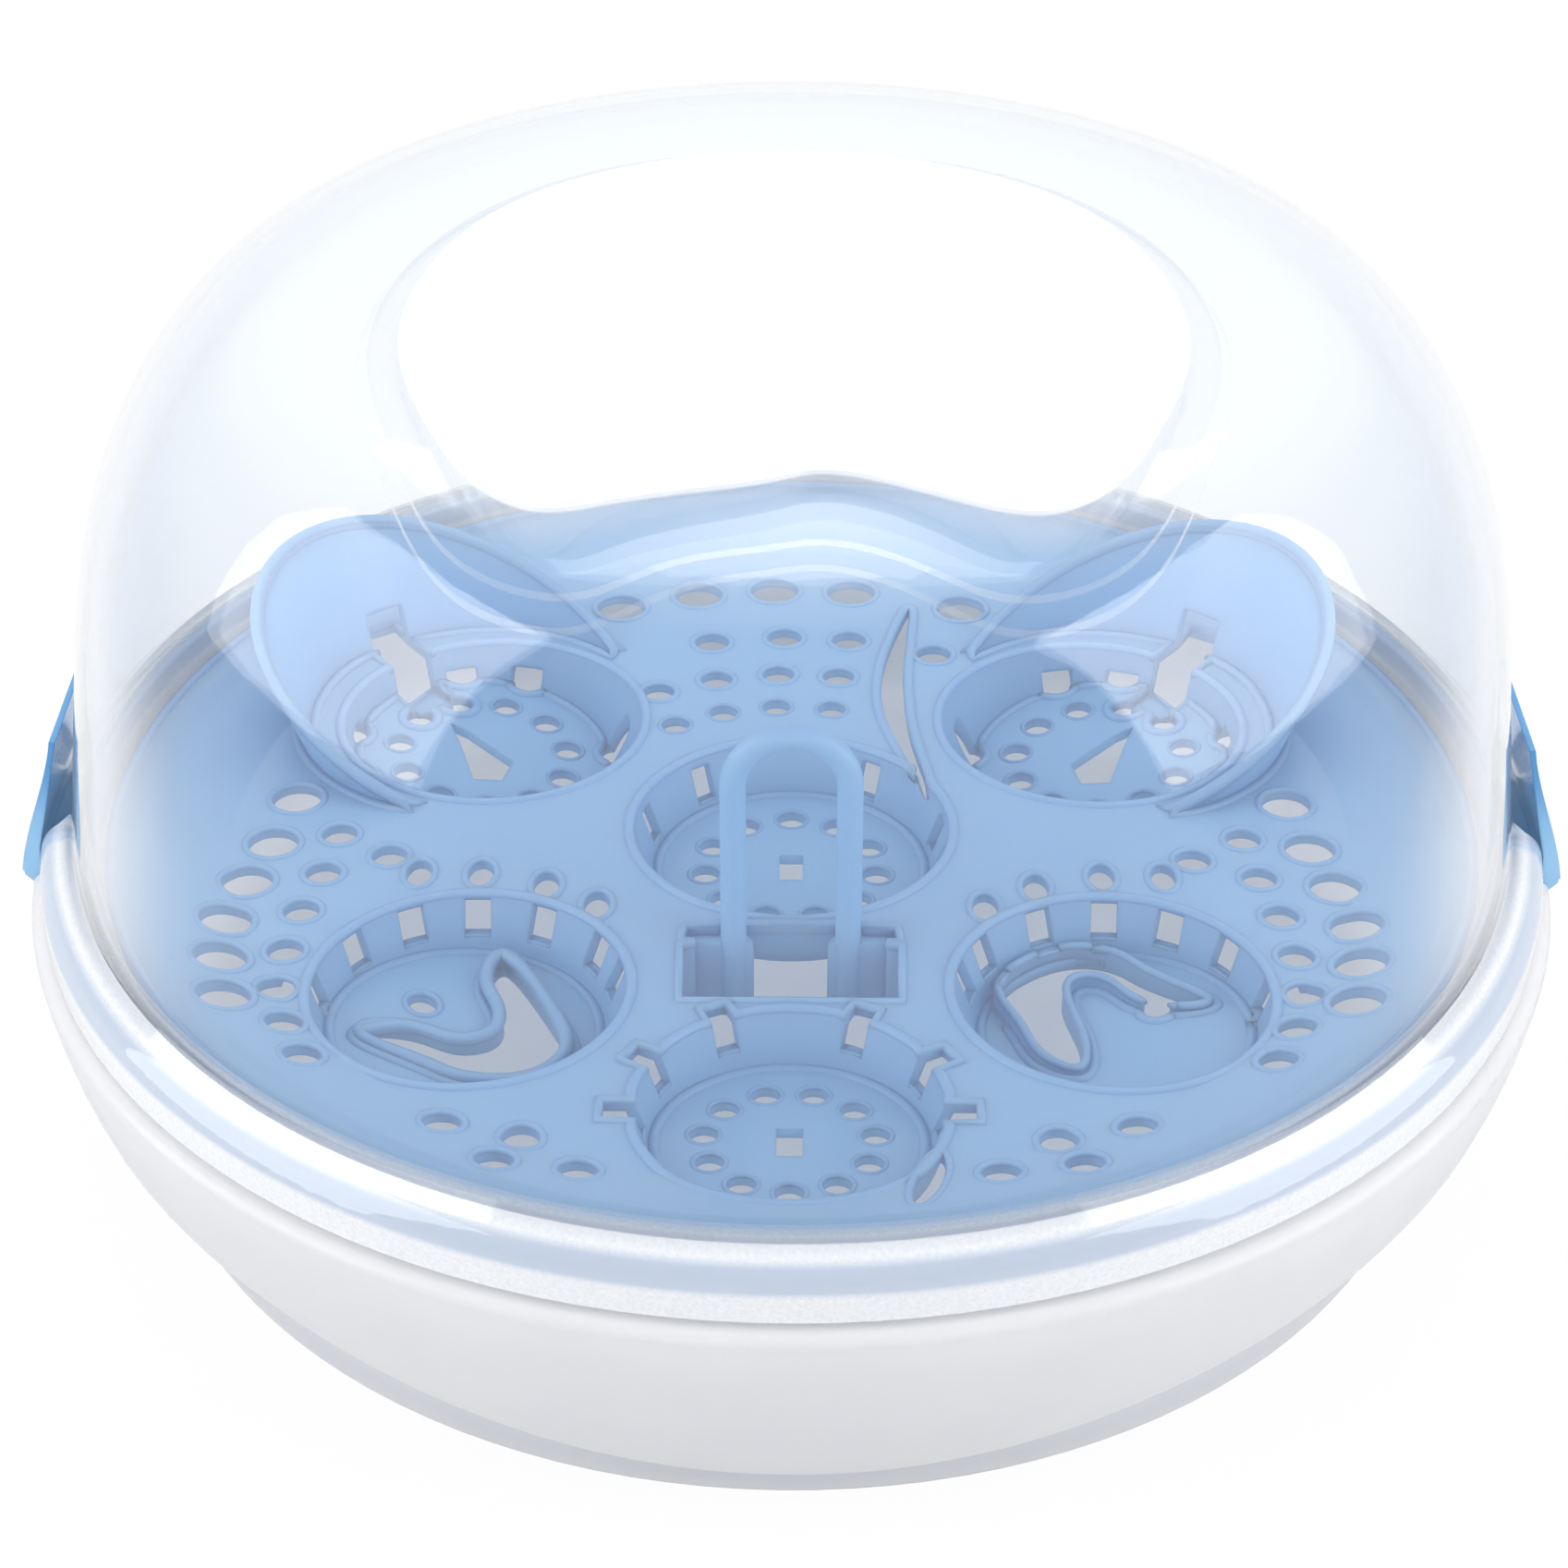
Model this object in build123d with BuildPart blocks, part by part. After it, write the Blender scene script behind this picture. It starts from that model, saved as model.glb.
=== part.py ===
from build123d import *
import os
from math import cos, hypot, pi, radians, sin, tan

# Microwave steam sterilizer for feeding bottles, in millimetres.
# Origin under the middle of the foot ring, +Z up, the front at -Y.

# Base: a bowl inside a skirt, joined by a flat rim
base_radius = 140.0
base_wall = 2.4
foot_radius = 121.5
foot_width = 4.0
foot_depth = 3.0
bowl_bend = 9.0
bowl_top_radius = 124.6
rim_height = 50.0
rim_round = 2.2
skirt_front_radius = 125.5
skirt_front_height = 7.5
skirt_wave = 20.0
skirt_belly = 3.2

# Lip of the base, which carries the basket
lip_height = 54.5

# Lid
lid_wall = 2.0
flange_radius = 137.6
flange_gap = 1.4
flange_brow = 5.0
flange_step_radius = 134.2
flange_step_height = 60.8
wall_foot_height = 63.4
locator_radius = 130.9
wall_foot_radius = 131.4
wall_belly_radius = 127.4
wall_belly_height = 93.5
dome_height = 164.0
dome_flat_radius = 75.0
dome_round = 46.6
dome_draft = 12.0

# Pad on the lid, a kidney with its notch to the front
pad_height = 2.0
pad_width = 125.6
pad_back = 45.5
pad_lobe = 90.7
pad_notch = 79.4
moat_depth = 1.0
moat_width = 11.0

# Basket
basket_wall = 2.0
basket_gap = 0.4
basket_rim_radius = 126.0
basket_rim_thickness = 2.0
plate_height = 51.2
plate_edge_radius = 104.0
well_draft = 20.0
drain_radius = 2.7
edge_hole_radius = 3.3
slot_width = 4.2
side_hole_radius = 4.7
small_hole_radius = 3.3
drain_ring = 16.3
edge_ring = 26.5
edge_angles = (105, 75, 5, -25, -60, -150, 170)
slot_step = 1.2
slot_height = 6.6
side_slot_angles = (65, 90.5, 116.5, 145.5, 164, 38, 6)
hook_edge = 1.4
hook_edge_height = 1.8
guide_wall = 2.0
cut_start = 32.0
drain_cut = 14.5
well_cut = 25.0
plate_cut = 12.0

# Rows of holes behind the middle well: ring about the centre, radius of the hole, angles from the back
back_rows = [
    (87.6, 5.0, (-24, -13, -2.5, 8, 23.5)),
    (68.0, 3.5, (-14, -1.4, 9.8, 25)),
    (53.5, 3.2, (-29.8, -16.5, -3, 10)),
    (41.0, 2.8, (-33.8, -19.3, -4.3, 11)),
]

# Holes of the two sides, given for the right one
outer_column = [(93.5, 7.0), (96.0, -8.0), (99.0, -20.5), (101.0, -33.5), (100.0, -46.0), (97.5, -58.5)]
inner_column = [(84.0, -5.0), (85.5, -17.7), (88.0, -29.7), (89.3, -41.8), (89.3, -53.3), (86.5, -64.0),
                (82.0, -74.0), (74.0, -12.0)]
upper_slots = [(56.7, -17.5), (44.5, -21.0), (68.0, -17.5), (35.0, -27.2)]
front_holes = [(57.0, -90.5), (44.0, -93.5), (47.5, -102.0), (34.0, -103.0)]
slit = [(23.6, 78.7), (19.3, 62.0), (17.6, 46.9), (20.5, 28.0), (26.2, 11.0), (23.6, 28.0), (22.4, 46.0),
        (23.0, 62.0)]

# Wells of the basket: x, y, height of the floor, radius of the floor and lean of the floor to the middle
centre_well = (0.0, -1.0, 41.5, 26.0, 0.0)
back_well = (61.0, 37.6, 42.0, 25.5, 8.0)
side_well = (57.0, -52.8, 43.0, 24.5, 4.0)
front_well = (0.0, -86.0, 44.5, 23.5, 5.0)

# Backrests behind the two back wells
rest_height = 79.0
rest_foot_radius = 33.0
rest_top_radius = 43.5
rest_slope = 26.0
rest_notch_width = 8.5
rest_notch_height = 15.0

# Lift loop, which stands in two guides at the back of an opening in the plate
loop_rod = 4.6
loop_width = 25.0
loop_top = 95.0
loop_y = -36.0
opening_width = 38.0
opening_front = -55.0
paddle_width = 37.0
paddle_bottom = 34.0
paddle_top = 50.0
paddle_thickness = 2.4
paddle_gap = 0.3
guide_width = 4.0
window_half = 6.6

# Clips
clip_width = 32.0
clip_gap = 0.6
clip_skin = 1.15
clip_lean = 1.5
clip_flange_gap = 0.2
clip_top = 78.0
hinge_radius = 135.8
hinge_height = 46.5
barrel_radius = 2.2
pin_radius = 1.2
pin_gap = 0.2
pin_length = 2.6
pocket_wall = 3.4
pocket_floor = 39.5
skin_clear = 0.05

os.makedirs("parts", exist_ok=True)

everywhere = 400.0


def base_outline():
    """Outer half outline of the skirt, from its foot up to the rim."""
    foot = (skirt_front_radius, skirt_front_height)
    shoulder = (base_radius, rim_height - rim_round)
    middle_r = (foot[0] + shoulder[0]) / 2 + skirt_belly * 0.45
    middle_z = (foot[1] + shoulder[1]) / 2 - skirt_belly
    return foot, (middle_r, middle_z), shoulder


# Base

foot_point, belly_point, rim_point = base_outline()
lip_inner = bowl_top_radius - base_wall

with BuildPart() as base:
    with BuildSketch(Plane.XZ) as skirt_section:
        with BuildLine():
            outer = ThreePointArc(foot_point, belly_point, rim_point)
            rim_edge = JernArc(outer @ 1, (0, 1), rim_round, 90)
            Polyline(rim_edge @ 1, (bowl_top_radius, rim_height), (bowl_top_radius, rim_height - base_wall),
                     (rim_point[0] - base_wall, rim_height - base_wall))
            ThreePointArc((rim_point[0] - base_wall, rim_height - base_wall),
                          (belly_point[0] - base_wall, belly_point[1]),
                          (foot_point[0] - base_wall, foot_point[1]))
            Line((foot_point[0] - base_wall, foot_point[1]), foot_point)
        make_face()
    revolve(axis=Axis.Z)
    # The lower edge rises from the front and the back to a finger arch at each side
    with BuildSketch(Plane.XZ) as wave:
        with BuildLine():
            half = foot_radius + 6
            crest = [
                (half * i / 4, skirt_front_height + skirt_wave * (1 - cos(pi * i / 4)) / 2) for i in range(-4, 5)
            ]
            edge = Spline(crest, tangents=[(1, 0), (1, 0)])
            Polyline(edge @ 1, (everywhere / 2, crest[-1][1]), (everywhere / 2, -1), (-everywhere / 2, -1),
                     (-everywhere / 2, crest[0][1]), edge @ 0)
        make_face()
    extrude(amount=everywhere / 2, both=True, mode=Mode.SUBTRACT)
    # Bowl with its foot ring below and the lip for the basket above
    with BuildSketch(Plane.XZ) as bowl_section:
        with BuildLine():
            floor_top = foot_depth + base_wall
            inner_foot = foot_radius - base_wall - bowl_bend
            Polyline((0, floor_top), (0, foot_depth), (foot_radius - foot_width, foot_depth),
                     (foot_radius - foot_width, 0), (foot_radius, 0), (bowl_top_radius, rim_height - base_wall),
                     (bowl_top_radius, lip_height), (lip_inner, lip_height),
                     (lip_inner, rim_height - base_wall), (foot_radius - base_wall + 0.4, floor_top + bowl_bend))
            RadiusArc((foot_radius - base_wall + 0.4, floor_top + bowl_bend), (inner_foot, floor_top), bowl_bend)
            Line((inner_foot, floor_top), (0, floor_top))
        make_face()
    revolve(axis=Axis.Z)

    # Pocket for each clip, with ears that hold the hinge pins
    pocket_half = clip_width / 2 + clip_gap
    pocket_reach = hinge_radius - barrel_radius - clip_gap
    with BuildSketch(Plane.XY.offset(pocket_floor - base_wall)) as ears:
        with Locations((base_radius, 0), (-base_radius, 0)):
            Rectangle(2 * (base_radius - pocket_reach + base_wall), 2 * (pocket_half + pocket_wall))
        Circle(base_radius - rim_round - 0.3, mode=Mode.INTERSECT)
    extrude(amount=rim_height - base_wall / 2 - pocket_floor + base_wall)
    with BuildSketch(Plane.XY.offset(pocket_floor)) as pockets:
        with Locations((base_radius, 0), (-base_radius, 0)):
            Rectangle(2 * (base_radius - pocket_reach), 2 * pocket_half)
    extrude(amount=everywhere / 4, mode=Mode.SUBTRACT)
    for side in (1, -1):
        with BuildSketch(Plane.XZ.offset(-(pocket_half + pin_length))) as pin_hole:
            with Locations((side * hinge_radius, hinge_height)):
                Circle(pin_radius + pin_gap)
        extrude(amount=2 * (pocket_half + pin_length), mode=Mode.SUBTRACT)

base.part.label = "base"
export_step(base.part, "parts/base.step")


# Lid

def dome_form(inset, floor):
    """Solid under the lid's outer skin, drawn inset from it and closed at floor."""
    draft = radians(dome_draft)
    round_radius = dome_round - inset
    centre = (dome_flat_radius, dome_height - dome_round)
    top = (centre[0] + round_radius * cos(draft), centre[1] + round_radius * sin(draft))
    bend = (centre[0] + round_radius * cos(radians(50)), centre[1] + round_radius * sin(radians(50)))
    step = (flange_step_radius - 0.7 * inset, flange_step_height - 0.7 * inset)
    foot = (wall_foot_radius - inset, wall_foot_height - 0.3 * inset)
    brow = (flange_radius - inset, rim_height + flange_gap + flange_brow)
    brow_middle = ((brow[0] + step[0]) / 2 + 0.42, (brow[1] + step[1]) / 2 + 0.33)
    with BuildPart() as form:
        with BuildSketch(Plane.XZ):
            with BuildLine():
                Polyline((0, floor), (flange_radius - inset, floor), brow)
                Spline(brow, brow_middle, step)
                Line(step, foot)
                Spline(foot, (wall_belly_radius - inset, wall_belly_height), top, bend,
                       (centre[0], dome_height - inset), tangents=[(-0.15, 1), (-1, 0)])
                Polyline((centre[0], dome_height - inset), (0, dome_height - inset), (0, floor))
            make_face()
        revolve(axis=Axis.Z)
    return form.part


def mirrored(half):
    """Closed outline through the points of its right half and their mirror images."""
    return half + [(-x, y) for x, y in reversed(half[1:-1])]


pad_half = pad_width / 2
pad_points = mirrored([
    (0, -pad_notch),
    (pad_half * 0.42, 2.7 - pad_lobe),
    (pad_half * 0.58, -pad_lobe),
    (pad_half * 0.73, 6.7 - pad_lobe),
    (pad_half * 0.87, 24.0 - pad_lobe),
    (pad_half, 53.0 - pad_lobe),
    (pad_half * 0.98, pad_back - 54.5),
    (pad_half * 0.79, pad_back - 25.0),
    (pad_half * 0.45, pad_back - 7.0),
    (0, pad_back),
])
moat_half = pad_half + 4.0
moat_points = mirrored([
    (0, -pad_notch - moat_width - 1.5),
    (moat_half * 0.28, -pad_lobe - 4.0),
    (moat_half * 0.45, -pad_lobe - 6.5),
    (moat_half * 0.60, -pad_lobe - 4.0),
    (moat_half * 0.76, 3.7 - pad_lobe),
    (moat_half * 0.91, 24.0 - pad_lobe),
    (moat_half, 45.7 - pad_lobe),
    (moat_half, pad_back - 54.5),
    (moat_half * 0.80, pad_back - 22.0),
    (moat_half * 0.45, pad_back - 2.0),
    (0, pad_back + 4.0),
])


def grown(points, amount):
    """The closed outline moved outwards along its normals by amount."""
    out = []
    for (x, y), (x0, y0), (x1, y1) in zip(points, points[-1:] + points[:-1], points[1:] + points[:1]):
        length = hypot(x1 - x0, y1 - y0)
        out.append((x + amount * (y1 - y0) / length, y - amount * (x1 - x0) / length))
    return out


def lid_form(inset, floor):
    """Solid inside the lid's skin at the given inset: dome, moat and pad."""
    with BuildPart() as moat:
        with BuildSketch(Plane.XY.offset(dome_height - dome_round)):
            with BuildLine():
                Spline(grown(moat_points, inset), periodic=True)
            make_face()
        extrude(amount=2 * dome_round)
        add(dome_form(inset + moat_depth, floor), mode=Mode.SUBTRACT)
    with BuildPart() as form:
        add(dome_form(inset, floor))
        add(moat.part, mode=Mode.SUBTRACT)
        with BuildSketch(Plane.XY.offset(dome_height - dome_round / 2)):
            with BuildLine():
                Spline(grown(pad_points, -inset), periodic=True)
            make_face()
        extrude(amount=dome_round / 2 + pad_height - inset)
    return form.part


with BuildPart() as lid:
    add(lid_form(0, rim_height + flange_gap))
    add(lid_form(lid_wall, rim_height), mode=Mode.SUBTRACT)
    # Locating wall, straight below the dome's wall, which stands on the rim of the base
    with BuildSketch(Plane.XY.offset(rim_height)) as locator:
        Circle(locator_radius)
        Circle(locator_radius - lid_wall, mode=Mode.SUBTRACT)
    extrude(amount=wall_foot_height - rim_height)
    # Gap in the flange for each clip, up to the foot of the dome's wall
    with BuildSketch(Plane.XY.offset(rim_height - 1)) as clip_gaps:
        with Locations((base_radius, 0), (-base_radius, 0)):
            Rectangle(base_radius, 2 * pocket_half)
        Circle(wall_foot_radius + skin_clear, mode=Mode.SUBTRACT)
    extrude(amount=wall_foot_height + 1.6 - rim_height, mode=Mode.SUBTRACT)

lid.part.label = "lid"
export_step(lid.part, "parts/lid.step")


# Basket

well_slope = tan(radians(well_draft))
lip_clear = lip_inner - basket_gap


def well_plane(well, side=1):
    """Plane of a well's floor, tipped so that its outer side is the higher one."""
    x, y, z, radius, lean = well
    ring = max(hypot(x, y), 1.0)
    tip = sin(radians(lean))
    return Plane(origin=(side * x, y, z), x_dir=(1, 0, side * x / ring * tip),
                 z_dir=(-side * x / ring * tip, -y / ring * tip, cos(radians(lean))))


def well_cone(well, side, grow, drop, height):
    """Drafted inside of a well, or its outside where it is grown and dropped by the wall."""
    radius = well[3] + grow
    with BuildPart() as cone:
        with Locations(well_plane(well, side)):
            with Locations((0, 0, -drop)):
                Cone(radius - drop * well_slope, radius + height * well_slope, height + drop,
                     align=(Align.CENTER, Align.CENTER, Align.MIN))
    return cone.part


all_wells = [(centre_well, 1), (front_well, 1)]
for well in (back_well, side_well):
    all_wells += [(well, 1), (well, -1)]

with BuildPart() as cups:
    for well, side in all_wells:
        add(well_cone(well, side, basket_wall, basket_wall, 16))
    with BuildSketch(Plane.XZ) as below_plate:
        with BuildLine():
            Polyline((0, 0), (0, plate_height), (lip_clear, plate_height), (lip_clear, 0), (0, 0))
        make_face()
    revolve(axis=Axis.Z, mode=Mode.INTERSECT)


def backrest(side):
    """Flared wall behind a back well, its top edge falling towards the middle of the basket."""
    x, y = side * back_well[0], back_well[1]
    ring = hypot(x, y)
    outward = Vector(x / ring, y / ring, 0)
    foot_height = plate_height - basket_wall
    slope = radians(rest_slope)
    crest = Vector(x, y, 0) + outward * rest_top_radius
    with BuildPart() as rest:
        with Locations((x, y, foot_height)):
            Cone(rest_foot_radius + basket_wall, rest_top_radius + basket_wall, rest_height - foot_height,
                 align=(Align.CENTER, Align.CENTER, Align.MIN))
            Cone(rest_foot_radius, rest_top_radius, rest_height - foot_height,
                 align=(Align.CENTER, Align.CENTER, Align.MIN), mode=Mode.SUBTRACT)
        cut = Plane(origin=(crest.X, crest.Y, rest_height - 2),
                    z_dir=(-outward.X * sin(slope), -outward.Y * sin(slope), cos(slope)))
        with Locations(cut):
            Box(everywhere, everywhere, everywhere, align=(Align.CENTER, Align.CENTER, Align.MIN),
                mode=Mode.SUBTRACT)
    return rest.part


def around(well, side, ring, angles):
    """Points on a ring around a well, the angles counted from the outer side of the basket's left-right line."""
    x, y = side * well[0], well[1]
    turns = [radians(angle) for angle in angles]
    return [(x + side * ring * cos(turn), y + ring * sin(turn)) for turn in turns]


def both_sides(points):
    """The points and their mirror images."""
    return points + [(-x, y) for x, y in points]


def wall_slots(well, side, angles, reach, width=slot_width, height=slot_height):
    """Upright slots through the drafted wall of a well."""
    x, y, z, radius, lean = well
    with BuildPart() as cutters:
        for angle in angles:
            turn = angle if side == 1 else 180 - angle
            with Locations(Plane(origin=(side * x, y, z + slot_step)).rotated((0, 0, turn))):
                with Locations((radius + 2.6, 0, 0)):
                    Box(reach, width, height, align=(Align.CENTER, Align.CENTER, Align.MIN))
    return cutters.part


# Openings of the hook shape in the floors of the two side wells
left_hook = [(-60.0, -66.0), (-51.0, -69.0), (-44.0, -67.5), (-39.5, -61.0), (-42.5, -50.0), (-48.5, -38.0),
             (-51.8, -34.0), (-53.5, -40.0), (-51.0, -48.0), (-51.5, -56.5), (-57.0, -59.0), (-66.0, -55.5),
             (-74.0, -55.5)]
right_hook = [(61.0, -35.0), (51.0, -30.5), (42.0, -35.0), (37.5, -42.0), (41.0, -53.0), (45.0, -62.5),
              (49.0, -65.0), (50.5, -59.0), (48.5, -47.0), (50.0, -39.0), (55.5, -38.5), (61.5, -45.0),
              (73.0, -46.5)]

with BuildPart() as basket:
    # Flat plate with its rim, which lies on the lip of the base
    with BuildSketch(Plane.XZ) as plate_section:
        with BuildLine():
            rim_top = lip_height + basket_rim_thickness
            Polyline((0, plate_height), (plate_edge_radius, plate_height), (lip_clear - 4, rim_top - 1.2),
                     (lip_clear - 1, rim_top), (basket_rim_radius, rim_top), (basket_rim_radius, lip_height),
                     (lip_clear, lip_height), (lip_clear - 1, lip_height - 1.4),
                     (plate_edge_radius, plate_height - basket_wall), (0, plate_height - basket_wall),
                     (0, plate_height))
        make_face()
    revolve(axis=Axis.Z)
    add(cups.part)
    add(backrest(1))
    add(backrest(-1))
    for well, side in all_wells:
        add(well_cone(well, side, 0, 0, 16), mode=Mode.SUBTRACT)
    # Raised edges of the hooks
    with BuildSketch(Plane.XY.offset(side_well[2] - 1)) as hook_edges:
        for hook in (left_hook, right_hook):
            with BuildLine():
                Spline(grown(hook, hook_edge), periodic=True)
            make_face()
    extrude(amount=1 + hook_edge_height)
    with BuildSketch(Plane.XY.offset(cut_start)) as hooks:
        for hook in (left_hook, right_hook):
            with BuildLine():
                Spline(hook, periodic=True)
            make_face()
    extrude(amount=well_cut, mode=Mode.SUBTRACT)
    # Opening in front of the middle well, with the guides that hold the lift loop
    with BuildSketch(Plane.XY.offset(paddle_bottom - basket_wall)) as guides:
        with Locations((opening_width / 2, loop_y), (-opening_width / 2, loop_y)):
            Rectangle(guide_width, paddle_thickness + 2 * guide_wall)
    extrude(amount=plate_height - paddle_bottom + basket_wall)
    with BuildSketch(Plane.XY.offset(paddle_bottom)) as opening:
        with Locations((0, loop_y)):
            Rectangle(paddle_width + 2 * paddle_gap, paddle_thickness + 2 * paddle_gap)
        with Locations((0, (loop_y - guide_wall - paddle_thickness / 2 + opening_front) / 2)):
            Rectangle(opening_width, abs(loop_y - guide_wall - paddle_thickness / 2 - opening_front))
        with Locations((0, loop_y - guide_wall / 2 - paddle_thickness / 2)):
            Rectangle(opening_width - guide_width, guide_wall)
        with Locations((0, loop_y)):
            Rectangle(loop_width + 2 * paddle_gap, loop_rod + 2 * paddle_gap)
    extrude(amount=everywhere / 8, mode=Mode.SUBTRACT)
    # Drain holes of the wells
    with BuildSketch(Plane.XY.offset(cut_start)) as drain_holes:
        with Locations(*around(centre_well, 1, drain_ring, [90 + i * 360 / 11 for i in range(11)])):
            Circle(drain_radius)
        with Locations(*around(front_well, 1, drain_ring - 1.8, [90 + (i + 0.5) * 360 / 11 for i in range(11)])):
            Circle(drain_radius * 0.92)
        for side in (1, -1):
            with Locations(*around(back_well, side, drain_ring + 0.4, [35 + i * 360 / 11 for i in range(11)])):
                Circle(drain_radius)
            with Locations(*around(back_well, side, edge_ring, edge_angles)):
                Circle(edge_hole_radius)
        for x, y in (centre_well[:2], front_well[:2]):
            with Locations((x, y)):
                Rectangle(4.4, 8.0)
        for side in (1, -1):
            with Locations((side * back_well[0], back_well[1])):
                Polygon((side * 7.5, 9.0), (side * 4.0, 7.0), (side * -5.7, -1.5), (side * -4.0, -8.0),
                        (side * 1.5, -8.5), (side * 5.0, 2.5), align=None)
        for side, x in ((1, -65.0), (-1, 65.0)):
            with Locations((x, -46.5)):
                Ellipse(2.4, 3.4, rotation=side * 30)
    extrude(amount=drain_cut, mode=Mode.SUBTRACT)
    # Slots in the walls of the wells
    add(wall_slots(centre_well, 1, (128, 57.5, 163.5, 200, 10, -10, 218, -38), 10), mode=Mode.SUBTRACT)
    add(wall_slots(front_well, 1, (150, 30, 180, 0, 115, 65), 10), mode=Mode.SUBTRACT)
    for side in (1, -1):
        add(wall_slots(side_well, side, side_slot_angles, 10, slot_width * 1.15), mode=Mode.SUBTRACT)
        add(wall_slots(back_well, side, (52,), 22, rest_notch_width, rest_notch_height), mode=Mode.SUBTRACT)
    # Holes in the plate
    with BuildSketch(Plane.XY.offset(plate_height - plate_cut / 2)) as plate_holes:
        for ring, radius, angles in back_rows:
            with Locations(*[(ring * sin(radians(a)), ring * cos(radians(a))) for a in angles]):
                Circle(radius)
        with Locations(*both_sides(outer_column)):
            Circle(side_hole_radius)
        with Locations(*both_sides(inner_column)):
            Circle(small_hole_radius)
        for x, y in both_sides(upper_slots):
            with Locations((x, y)):
                Ellipse(2.4, 4.2)
        with Locations(*both_sides(front_holes)):
            Circle(small_hole_radius)
        with BuildLine():
            Spline(slit, periodic=True)
        make_face()
        with Locations((22.4, -105.0)):
            Ellipse(2.2, 8.5, rotation=-14)
    extrude(amount=plate_cut, mode=Mode.SUBTRACT)

basket.part.label = "basket"
export_step(basket.part, "parts/basket.step")


# Lift loop

leg_x = (loop_width - loop_rod) / 2
arch_height = loop_top - loop_rod / 2 - leg_x
loop_plane = Plane.XZ.offset(-loop_y)

with BuildPart() as lift_loop:
    with BuildLine(loop_plane) as loop_path:
        Line((-leg_x, paddle_bottom + 2.5), (-leg_x, arch_height))
        ThreePointArc((-leg_x, arch_height), (0, arch_height + leg_x), (leg_x, arch_height))
        Line((leg_x, arch_height), (leg_x, paddle_bottom + 2.5))
    with BuildSketch(Plane(origin=loop_path.line @ 0, z_dir=(0, 0, 1))) as rod:
        Circle(loop_rod / 2)
    sweep(path=loop_path.line)
    with BuildSketch(loop_plane.offset(-paddle_thickness / 2)) as paddles:
        for side in (1, -1):
            with Locations((side * (paddle_width / 2 + window_half) / 2, (paddle_top + paddle_bottom) / 2)):
                RectangleRounded(paddle_width / 2 - window_half, paddle_top - paddle_bottom, 2.0)
        with Locations((0, paddle_bottom + 1.2)):
            Rectangle(2 * window_half + 4.2, 2.4)
    extrude(amount=paddle_thickness)

lift_loop.part.label = "lift_loop"
export_step(lift_loop.part, "parts/lift_loop.step")


# Clips

def clip(side):
    """Skin of one side's clip, thin at its top and thick at its foot, with its hinge barrel and pins."""
    clip_bottom = rim_height + 0.2
    outer_points = [
        (wall_foot_radius + clip_lean, clip_top),
        (flange_step_radius + 0.1, flange_step_height + 11.4),
        (flange_radius - 1.6, flange_step_height + 6.2),
        (flange_radius + 1.3, rim_height + 8.6),
        (base_radius + 1, clip_bottom),
    ]
    inner_foot_point = (flange_radius - clip_flange_gap, rim_height + 2)
    inner_points = [
        inner_foot_point,
        (flange_radius - 2 * clip_flange_gap, rim_height + 5),
        (flange_radius - 3.2, flange_step_height + 6.2),
        (wall_foot_radius + clip_lean - clip_skin, clip_top),
    ]
    with BuildPart() as body:
        with BuildSketch(Plane.XZ):
            with BuildLine():
                outside = Spline(outer_points)
                inside = Polyline(inner_points)
                Line(outside @ 1, inside @ 0)
                Line(inside @ 1, outside @ 0)
            make_face()
            # Web from the skin's foot to the barrel
            Polygon((hinge_radius, hinge_height - barrel_radius), (base_radius + 0.6, clip_bottom - 0.8),
                    (base_radius + 0.8, clip_bottom + 1), inner_foot_point,
                    (hinge_radius - pin_radius, hinge_height + 1.6), align=None)
            with Locations((hinge_radius, hinge_height)):
                Circle(barrel_radius)
        extrude(amount=clip_width / 2, both=True)
        with BuildSketch(Plane.XZ):
            with Locations((hinge_radius, hinge_height)):
                Circle(pin_radius)
        extrude(amount=clip_width / 2 + pin_length - pin_gap, both=True)
    return body.part if side == 1 else mirror(body.part, Plane.YZ)


with BuildPart() as right_clip:
    add(clip(1))

right_clip.part.label = "right_clip"
export_step(right_clip.part, "parts/right_clip.step")

with BuildPart() as left_clip:
    add(clip(-1))

left_clip.part.label = "left_clip"
export_step(left_clip.part, "parts/left_clip.step")

for piece in (base, lid, basket, lift_loop, right_clip, left_clip):
    print(piece.part.label, piece.part.is_valid, len(piece.part.solids()), round(piece.part.volume))
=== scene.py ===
from math import cos, radians, sin

import bpy
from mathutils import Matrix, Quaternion, Vector


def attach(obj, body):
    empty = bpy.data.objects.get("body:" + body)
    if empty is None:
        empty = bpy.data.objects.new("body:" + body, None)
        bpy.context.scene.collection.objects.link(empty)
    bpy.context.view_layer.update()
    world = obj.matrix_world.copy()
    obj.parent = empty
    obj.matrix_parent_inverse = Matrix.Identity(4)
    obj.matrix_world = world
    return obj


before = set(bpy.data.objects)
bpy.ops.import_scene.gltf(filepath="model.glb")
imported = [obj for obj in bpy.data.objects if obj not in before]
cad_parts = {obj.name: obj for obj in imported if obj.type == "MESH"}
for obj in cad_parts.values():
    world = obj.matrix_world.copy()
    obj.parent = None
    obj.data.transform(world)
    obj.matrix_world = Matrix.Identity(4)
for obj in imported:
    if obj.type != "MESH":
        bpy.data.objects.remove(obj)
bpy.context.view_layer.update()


# Camera
# It stands in front of the object and looks down on it, with a long lens, as in the photograph.
# Its place was worked out from the rims, the foot ring and the object's width and height.
camera_place = Vector((0.0, -0.506715, 0.388895))
camera_drop = radians(33.013)
camera_turn = radians(-0.16)
camera_roll = radians(0.245)
camera_lens = 74.628
camera_sensor = 36.0
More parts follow.
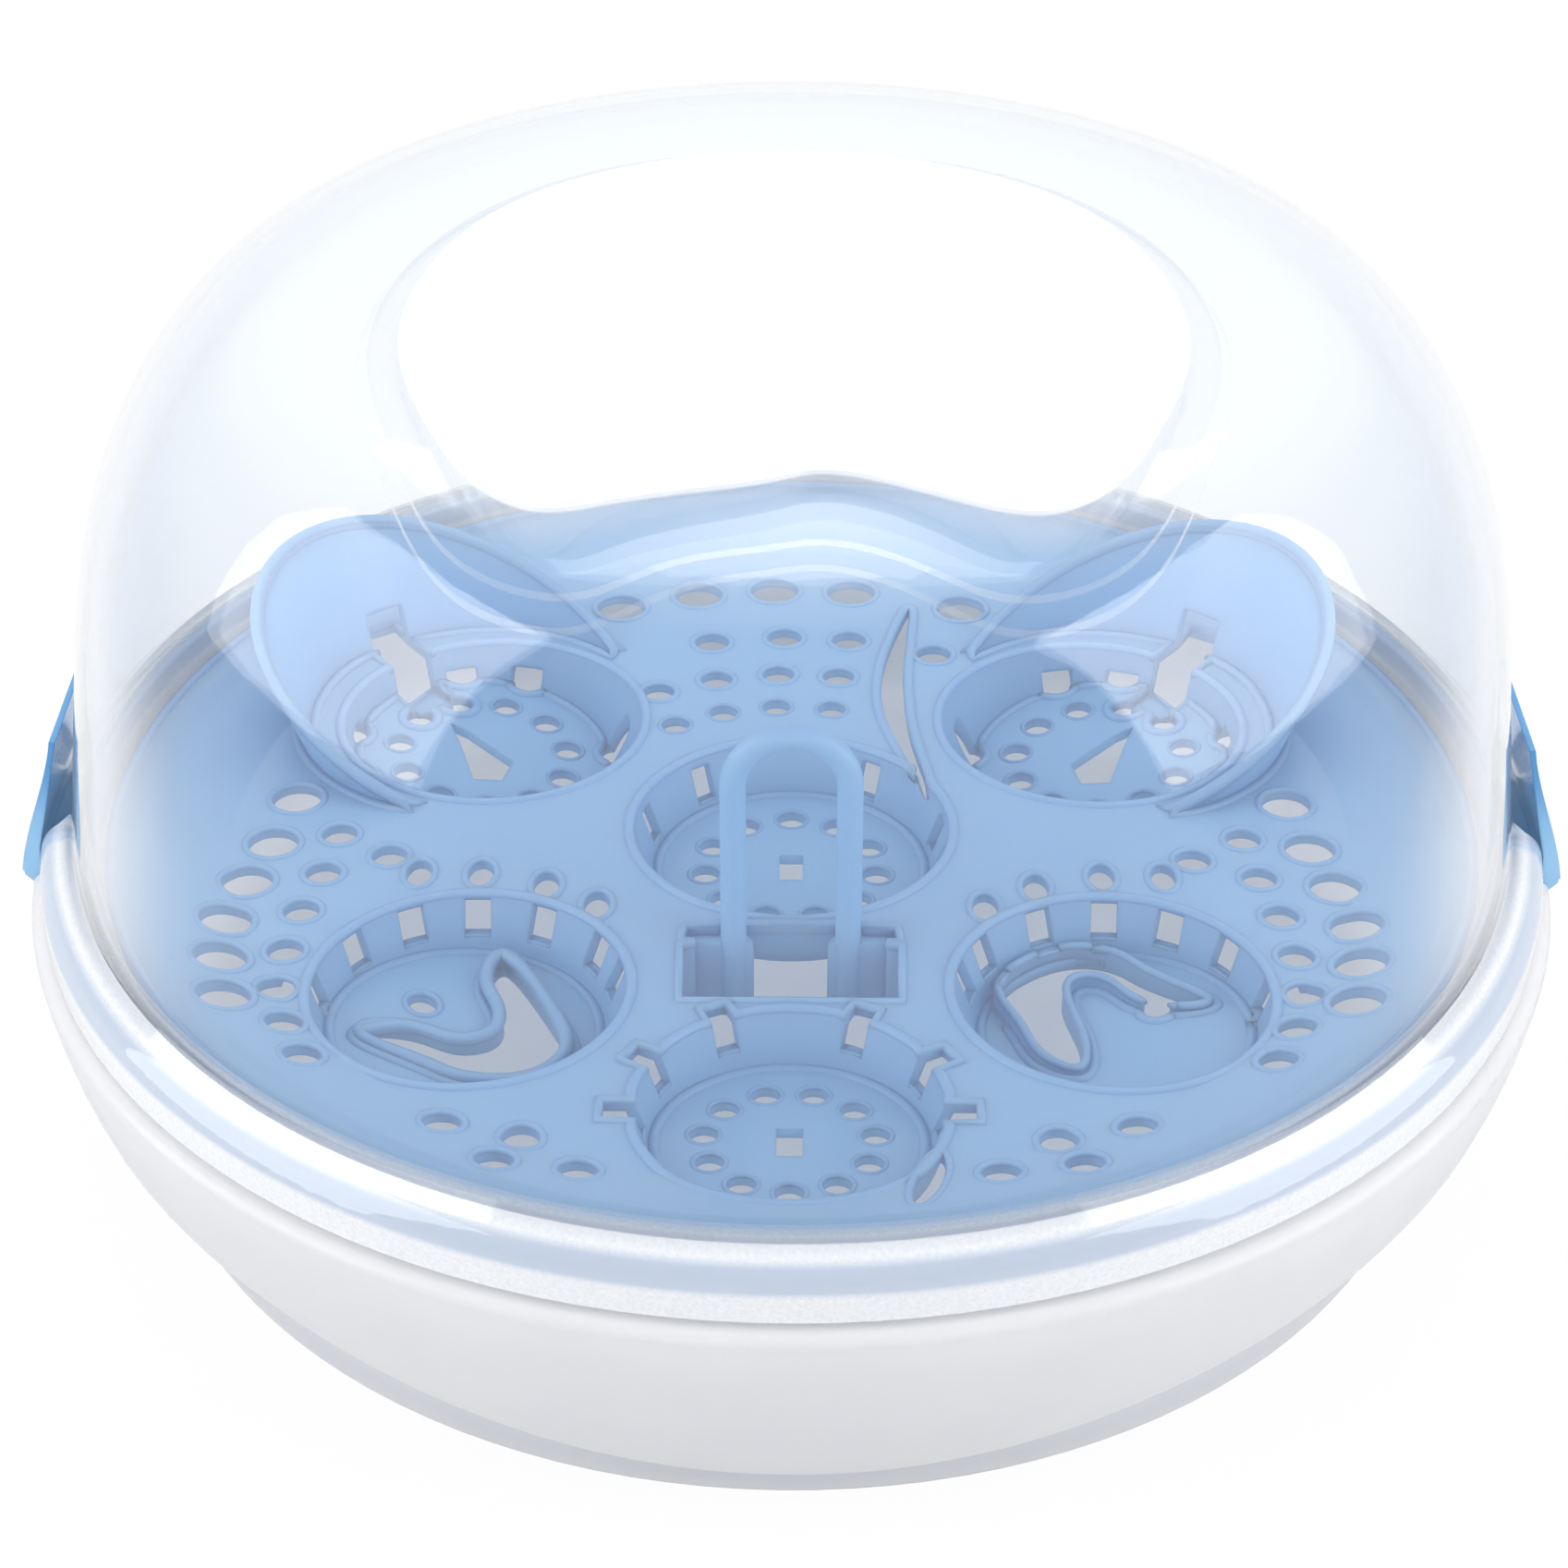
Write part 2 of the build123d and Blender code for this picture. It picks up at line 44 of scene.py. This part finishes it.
camera_ahead = Vector((
    sin(camera_turn) * cos(camera_drop),
    cos(camera_turn) * cos(camera_drop),
    -sin(camera_drop),
))
camera = bpy.data.objects.new("camera", bpy.data.cameras.new("camera"))
camera.location = camera_place
camera.rotation_mode = "QUATERNION"
camera.rotation_quaternion = camera_ahead.to_track_quat("-Z", "Y") @ Quaternion((0, 0, 1), camera_roll)
camera.data.lens = camera_lens
camera.data.sensor_width = camera_sensor
camera.data.clip_start = 0.01
camera.data.clip_end = 50.0
bpy.context.scene.collection.objects.link(camera)
bpy.context.scene.camera = camera
bpy.context.scene.view_settings.view_transform = "Standard"


# Studio
# A white room: the world lights from all round, two wide softboxes stand at the sides, one hangs above
# and behind, and a weak one fills the front. The floor is a white sheet that keeps a faint shadow.
class Wire:
    """One output of a shader node. Arithmetic on it adds Math nodes."""

    def __init__(self, tree, socket=None):
        self.tree = tree
        self.socket = socket

    def node(self, kind, settings=None, sockets=None, out=0):
        made = self.tree.nodes.new(kind)
        for key, value in (settings or {}).items():
            setattr(made, key, value)
        for key, value in (sockets or {}).items():
            if isinstance(value, Wire):
                self.tree.links.new(value.socket, made.inputs[key])
            else:
                made.inputs[key].default_value = value
        return Wire(self.tree, made.outputs[out] if made.outputs else None)

    def math(self, operation, first, second):
        return self.node("ShaderNodeMath", {"operation": operation}, {0: first, 1: second})

    def __add__(self, other):
        return self.math("ADD", self, other)

    def __radd__(self, other):
        return self.math("ADD", other, self)

    def __sub__(self, other):
        return self.math("SUBTRACT", self, other)

    def __rsub__(self, other):
        return self.math("SUBTRACT", other, self)

    def __mul__(self, other):
        return self.math("MULTIPLY", self, other)

    def __rmul__(self, other):
        return self.math("MULTIPLY", other, self)

    def __pow__(self, other):
        return self.math("POWER", self, other)

    def smaller(self, other):
        """This value or the other, whichever is less."""
        return self.math("MINIMUM", self, other)

    def larger(self, other):
        """This value or the other, whichever is more."""
        return self.math("MAXIMUM", self, other)

    def ramp(self, low, high):
        """0 below low, 1 above high and smooth between them."""
        return self.node("ShaderNodeMapRange", {"interpolation_type": "SMOOTHSTEP"},
                         {"Value": self, "From Min": low, "From Max": high})

    def tint(self, dark, light):
        """The colour that lies between dark and light where this value is between 0 and 1."""
        return self.node("ShaderNodeMix", {"data_type": "RGBA"}, {0: self, 6: dark, 7: light}, out=2)


def shown_rays(wire):
    """1 for the rays that show a surface: straight from the camera, mirrored or passing through."""
    seen = wire.node("ShaderNodeLightPath", out="Is Camera Ray")
    mirrored = wire.node("ShaderNodeLightPath", out="Is Glossy Ray")
    passing = wire.node("ShaderNodeLightPath", out="Is Transmission Ray")
    return (seen + mirrored + passing).smaller(1.0)


room_light = 0.62
room = bpy.data.worlds.new("room")
room.use_nodes = True
room.node_tree.nodes.clear()
sky = Wire(room.node_tree)
sky_strength = room_light + shown_rays(sky) * (1 - room_light)
sky_shader = sky.node("ShaderNodeBackground", None, {"Color": (1, 1, 1, 1), "Strength": sky_strength})
sky.node("ShaderNodeOutputWorld", None, {"Surface": sky_shader})
bpy.context.scene.world = room

lit_spot = Vector((0, 0, 0.06))
for name, place, size, watts, mirrored in (
    ("left_softbox", (-0.95, -0.25, 0.55), 0.9, 6.0, True),
    ("right_softbox", (0.95, -0.25, 0.55), 0.9, 6.0, True),
    ("top_softbox", (0.0, 0.35, 1.1), 1.0, 5.0, True),
    ("front_softbox", (0.0, -1.2, 0.42), 0.7, 2.6, False),
):
    lamp = bpy.data.objects.new(name, bpy.data.lights.new(name, "AREA"))
    lamp.data.shape = "SQUARE"
    lamp.data.size = size
    lamp.data.energy = watts
    lamp.visible_glossy = mirrored
    lamp.location = place
    lamp.rotation_mode = "QUATERNION"
    lamp.rotation_quaternion = (lit_spot - Vector(place)).to_track_quat("-Z", "Y")
    bpy.context.scene.collection.objects.link(lamp)

floor_reach = 6.0
floor_glow = 1.04
floor_glow_share = 0.9
floor_mesh = bpy.data.meshes.new("floor")
floor_corners = [(x * floor_reach, y * floor_reach, 0) for x, y in ((-1, -1), (1, -1), (1, 1), (-1, 1))]
floor_mesh.from_pydata(floor_corners, [], [(0, 1, 2, 3)])
floor = bpy.data.objects.new("floor", floor_mesh)
bpy.context.scene.collection.objects.link(floor)
floor_white = bpy.data.materials.new("floor_white")
floor_white.use_nodes = True
floor_white.node_tree.nodes.clear()
sheet = Wire(floor_white.node_tree)
paper = sheet.node("ShaderNodeBsdfDiffuse", None, {"Color": (0.62, 0.62, 0.64, 1)})
glow = sheet.node("ShaderNodeEmission", None, {"Color": (1, 1, 1, 1), "Strength": floor_glow})
glow_share = shown_rays(sheet) * floor_glow_share
floor_shader = sheet.node("ShaderNodeMixShader", None, {0: glow_share, 1: paper, 2: glow})
sheet.node("ShaderNodeOutputMaterial", None, {"Surface": floor_shader})
floor_mesh.materials.append(floor_white)


# Base
# A white bowl inside a skirt, moulded in one piece of glossy polypropylene. It is greyer at its foot with
# painted shade, and the moulding is smooth, with only a trace of unevenness in its gloss.
plastic_ior = 1.49
# Grey of the painted shade at the foot, where less light reaches.
painted_foot_shade_grey = (0.74, 0.74, 0.77, 1)
shell_white = (0.95, 0.95, 0.955, 1)
painted_foot_shade_heights = (0.002, 0.010)
base_white = bpy.data.materials.new("base_white")
base_white.use_nodes = True
base_white.node_tree.nodes.clear()
shell = Wire(base_white.node_tree)
shell_spot = shell.node("ShaderNodeTexCoord", out="Object")
shell_height = shell.node("ShaderNodeSeparateXYZ", None, {"Vector": shell_spot}, out=2)
shell_mottle = shell.node("ShaderNodeTexNoise", None, {"Vector": shell_spot, "Scale": 60.0, "Detail": 3.0})
shell_grain = shell.node("ShaderNodeTexNoise", None, {"Vector": shell_spot, "Scale": 900.0, "Detail": 2.0})
shell_rounded = shell.node("ShaderNodeBevel", {"samples": 4}, {"Radius": 0.0006})
shell_fine = shell.node("ShaderNodeBump", None, {
    "Strength": 0.04,
    "Distance": 0.0004,
    "Height": shell_grain,
    "Normal": shell_rounded,
})
# Painted shade: the colour greys towards the foot; the noise adds random tone to the white.
mottle_and_painted_foot_shade = shell_mottle.ramp(0.3, 0.7) * 0.1 + 0.9 * shell_height.ramp(*painted_foot_shade_heights)
white_plastic = shell.node("ShaderNodeBsdfPrincipled", None, {
    "Base Color": mottle_and_painted_foot_shade.tint(painted_foot_shade_grey, shell_white),
    "Roughness": 0.2 + shell_mottle * 0.1,
    "Normal": shell_fine,
    "IOR": plastic_ior,
    "Coat Weight": 0.3,
    "Coat Roughness": 0.08,
    "Subsurface Weight": 0.08,
    "Subsurface Radius": (0.004, 0.004, 0.004),
})
shell_glow = shell.node("ShaderNodeBsdfTranslucent", None, {"Color": (0.98, 0.98, 0.99, 1)})
shell_shader = shell.node("ShaderNodeMixShader", None, {0: 0.5, 1: white_plastic, 2: shell_glow})
shell.node("ShaderNodeOutputMaterial", None, {"Surface": shell_shader})
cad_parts["base"].material_slots[0].material = base_white


# Basket and lift loop
# The tray that holds the bottles, moulded in pale blue polypropylene that lets some light through. It
# is painted deeper blue down in the wells and in its hollows than on the plate and the loop, as painted
# shade.
# The deep blue is painted shade, laid on low in the wells and in hollows and corners.
tray_painted_shade_blue = (0.06, 0.32, 0.63, 1)
tray_pale = (0.37, 0.62, 0.88, 1)
wells_to_plate = (0.034, 0.052)
tray_blue = bpy.data.materials.new("tray_blue")
tray_blue.use_nodes = True
tray_blue.node_tree.nodes.clear()
tray = Wire(tray_blue.node_tree)
tray_spot = tray.node("ShaderNodeTexCoord", out="Object")
tray_height = tray.node("ShaderNodeSeparateXYZ", None, {"Vector": tray_spot}, out=2)
tray_mottle = tray.node("ShaderNodeTexNoise", None, {"Vector": tray_spot, "Scale": 45.0, "Detail": 3.0})
tray_grain = tray.node("ShaderNodeTexNoise", None, {"Vector": tray_spot, "Scale": 1100.0, "Detail": 2.0})
tray_rounded = tray.node("ShaderNodeBevel", {"samples": 8}, {"Radius": 0.0014})
tray_fine = tray.node("ShaderNodeBump", None, {
    "Strength": 0.05,
    "Distance": 0.0003,
    "Height": tray_grain,
    "Normal": tray_rounded,
})
# Painted shade: occlusion darkens the colour in corners and hollows, and the height ramp darkens it low in
# the wells; the noise adds random tone.
tray_shade = tray.node("ShaderNodeAmbientOcclusion", {"samples": 6}, {"Distance": 0.012}, out="AO")
well_shade_and_mottle = tray_height.ramp(*wells_to_plate) * 0.5 + tray_mottle * 0.15 + 0.35
painted_shade_and_mottle = well_shade_and_mottle * tray_shade.ramp(0.15, 0.85)
blue_plastic = tray.node("ShaderNodeBsdfPrincipled", None, {
    "Base Color": painted_shade_and_mottle.tint(tray_painted_shade_blue, tray_pale),
    "Roughness": 0.3 + tray_mottle * 0.12,
    "Normal": tray_fine,
    "IOR": plastic_ior,
    "Coat Weight": 0.3,
    "Coat Roughness": 0.1,
})
tray_glow = tray.node("ShaderNodeBsdfTranslucent", None, {"Color": (0.55, 0.83, 1, 1)})
tray_shader = tray.node("ShaderNodeMixShader", None, {0: 0.45, 1: blue_plastic, 2: tray_glow})
tray.node("ShaderNodeOutputMaterial", None, {"Surface": tray_shader})
for name in ("basket", "lift_loop"):
    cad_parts[name].material_slots[0].material = tray_blue


# Moulded rims
# Rounded beads run round the holes, well mouths and top edges of the tray, in its own plastic. Each one
# follows a border of the tray's upward faces and is thicker where that border is larger. Borders of
# fewer than eight points, such as the square drain slots, stay plain.
least_upward = 0.85
same_point = 1e-6
least_reach = 0.003
fewest_points = 8
bead_sizes = ((0.030, 0.0011), (0.0058, 0.0007), (0.0, 0.00045))
bead_unit = 0.001
bead_inset = 0.8
bead_sunk = 0.35
tray_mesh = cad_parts["basket"].data
border_next = {}
border_points = {}
for face in tray_mesh.polygons:
    if face.normal.z > least_upward:
        corners = []
        for index in face.vertices:
            corner = tray_mesh.vertices[index].co
            key = tuple(round(value / same_point) for value in corner)
            border_points[key] = corner.copy()
            corners.append(key)
        for start, end in zip(corners, corners[1:] + corners[:1]):
            if end in border_next.get(start, ()):
                continue
            if start in border_next.get(end, ()):
                border_next[end].remove(start)
            else:
                border_next.setdefault(start, []).append(end)
beads = bpy.data.curves.new("tray_rims", "CURVE")
beads.dimensions = "3D"
beads.bevel_depth = bead_unit
beads.bevel_resolution = 2
while any(border_next.values()):
    here = next(key for key, ends in border_next.items() if ends)
    border = []
    while border_next.get(here):
        border.append(border_points[here])
        here = border_next[here].pop()
    spans = [max(point[axis] for point in border) - min(point[axis] for point in border) for axis in (0, 1)]
    reach = max(spans)
    if len(border) < fewest_points or reach < least_reach:
        continue
    bead_radius = next(radius for size, radius in bead_sizes if reach > size)
    bead = beads.splines.new("POLY")
    bead.use_cyclic_u = True
    bead.points.add(len(border) - 1)
    for index, point in enumerate(border):
        before = border[index - 1]
        after = border[(index + 1) % len(border)]
        along = (after - before).normalized()
        inward = Vector((-along.y, along.x, 0)) * bead_radius * bead_inset
        height = point.z - bead_radius * bead_sunk
        bead.points[index].co = (point.x + inward.x, point.y + inward.y, height, 1)
        bead.points[index].radius = bead_radius / beads.bevel_depth
tray_rims = bpy.data.objects.new("tray_rims", beads)
bpy.context.scene.collection.objects.link(tray_rims)
beads.materials.append(tray_blue)
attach(tray_rims, "basket")


# Lid
# A clear dome, smooth on its wall, with a frosted pad. Towards its crown, and where it curves away from the
# eye, it is whitened as a painted reflection. The flange round its foot has a grained band between two
# polished ones.
flange_top = (0.0608, 0.0640)
grain_foot = (0.0560, 0.0572)
grain_head = (0.0598, 0.0612)
crown_rise = (0.152, 0.173)
pad_rise = (0.1646, 0.1656)
polished_tint = (0.95, 0.97, 1, 1)
grained_tint = (0.40, 0.50, 0.66, 1)
dome_clear = bpy.data.materials.new("dome_clear")
dome_clear.use_nodes = True
dome_clear.node_tree.nodes.clear()
dome = Wire(dome_clear.node_tree)
dome_spot = dome.node("ShaderNodeTexCoord", out="Object")
dome_height = dome.node("ShaderNodeSeparateXYZ", None, {"Vector": dome_spot}, out=2)
facing = dome.node("ShaderNodeLayerWeight", None, {"Blend": 0.5}, out="Facing")
bloom = dome.node("ShaderNodeTexNoise", None, {"Vector": dome_spot, "Scale": 1500.0, "Detail": 2.0})
flange_part = 1 - dome_height.ramp(*flange_top)
grained = dome_height.ramp(*grain_foot) * (1 - dome_height.ramp(*grain_head))
# Painted reflection: the crown is whitened as if it mirrored the light above.
crown_painted_reflection = dome_height.ramp(*crown_rise) * 0.35
pad_frost = dome_height.ramp(*pad_rise) * 0.85
# Painted reflection: faces turned edge-on to the eye are whitened as if they mirrored the white room.
edge_on_painted_reflection = facing.ramp(0.52, 1.0) * 0.6
wall_haze_and_painted_reflection = crown_painted_reflection.larger(edge_on_painted_reflection) + 0.03
# The mix share holds the frosted pad and the milky flange, and also the painted reflection of crown and
# edges.
milk_and_painted_reflection = wall_haze_and_painted_reflection.larger(pad_frost).larger(flange_part * (0.6 + bloom * 0.3))
dome_gloss = dome.node("ShaderNodeBsdfPrincipled", None, {
    "Base Color": (grained * (0.55 + bloom * 0.5)).tint(polished_tint, grained_tint),
    "Roughness": 0.12 + grained * 0.3 + pad_frost * 0.25,
    "IOR": plastic_ior,
    "Coat Weight": 0.5,
    "Coat Roughness": 0.03,
})
dome_open = dome.node("ShaderNodeBsdfTransparent", None, {"Color": (0.985, 0.993, 1, 1)})
dome_body = dome.node("ShaderNodeMixShader", None, {0: milk_and_painted_reflection, 1: dome_open, 2: dome_gloss})
dome_shine = dome.node("ShaderNodeBsdfAnisotropic", None, {"Color": (1, 1, 1, 1), "Roughness": 0.04})
mirror_share = 0.045 + facing ** 5 * 0.9
dome_shader = dome.node("ShaderNodeMixShader", None, {0: mirror_share, 1: dome_body, 2: dome_shine})
dome.node("ShaderNodeOutputMaterial", None, {"Surface": dome_shader})
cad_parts["lid"].material_slots[0].material = dome_clear


# Side clips
# Two curved clips in a deeper, glossy blue, painted darker towards the top where their hollow lies in shade
# and paler towards the foot, as painted shade. Each one hinges on the base's rim and closes over the lid's
# flange.
# Lit and shaded blues of the clip: the painted shade darkens its top.
clip_lit_blue = (0.33, 0.60, 0.86, 1)
clip_shaded_blue = (0.03, 0.26, 0.60, 1)
foot_to_top = (0.055, 0.075)
clip_blue = bpy.data.materials.new("clip_blue")
clip_blue.use_nodes = True
clip_blue.node_tree.nodes.clear()
clip = Wire(clip_blue.node_tree)
clip_spot = clip.node("ShaderNodeTexCoord", out="Object")
clip_height = clip.node("ShaderNodeSeparateXYZ", None, {"Vector": clip_spot}, out=2)
clip_mottle = clip.node("ShaderNodeTexNoise", None, {"Vector": clip_spot, "Scale": 120.0, "Detail": 2.0})
clip_rounded = clip.node("ShaderNodeBevel", {"samples": 6}, {"Radius": 0.0006})
# Painted shade: the clip is darkened towards its top, where its hollow is shaded; the noise adds random
# tone.
clip_painted_shade_and_mottle = clip_height.ramp(*foot_to_top) * 0.8 + clip_mottle * 0.15
clip_plastic = clip.node("ShaderNodeBsdfPrincipled", None, {
    "Base Color": clip_painted_shade_and_mottle.tint(clip_lit_blue, clip_shaded_blue),
    "Roughness": 0.16 + clip_mottle * 0.08,
    "Normal": clip_rounded,
    "IOR": plastic_ior,
    "Coat Weight": 0.4,
    "Coat Roughness": 0.06,
    "Subsurface Weight": 0.15,
    "Subsurface Radius": (0.002, 0.003, 0.005),
})
clip.node("ShaderNodeOutputMaterial", None, {"Surface": clip_plastic})
for name in ("left_clip", "right_clip"):
    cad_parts[name].material_slots[0].material = clip_blue
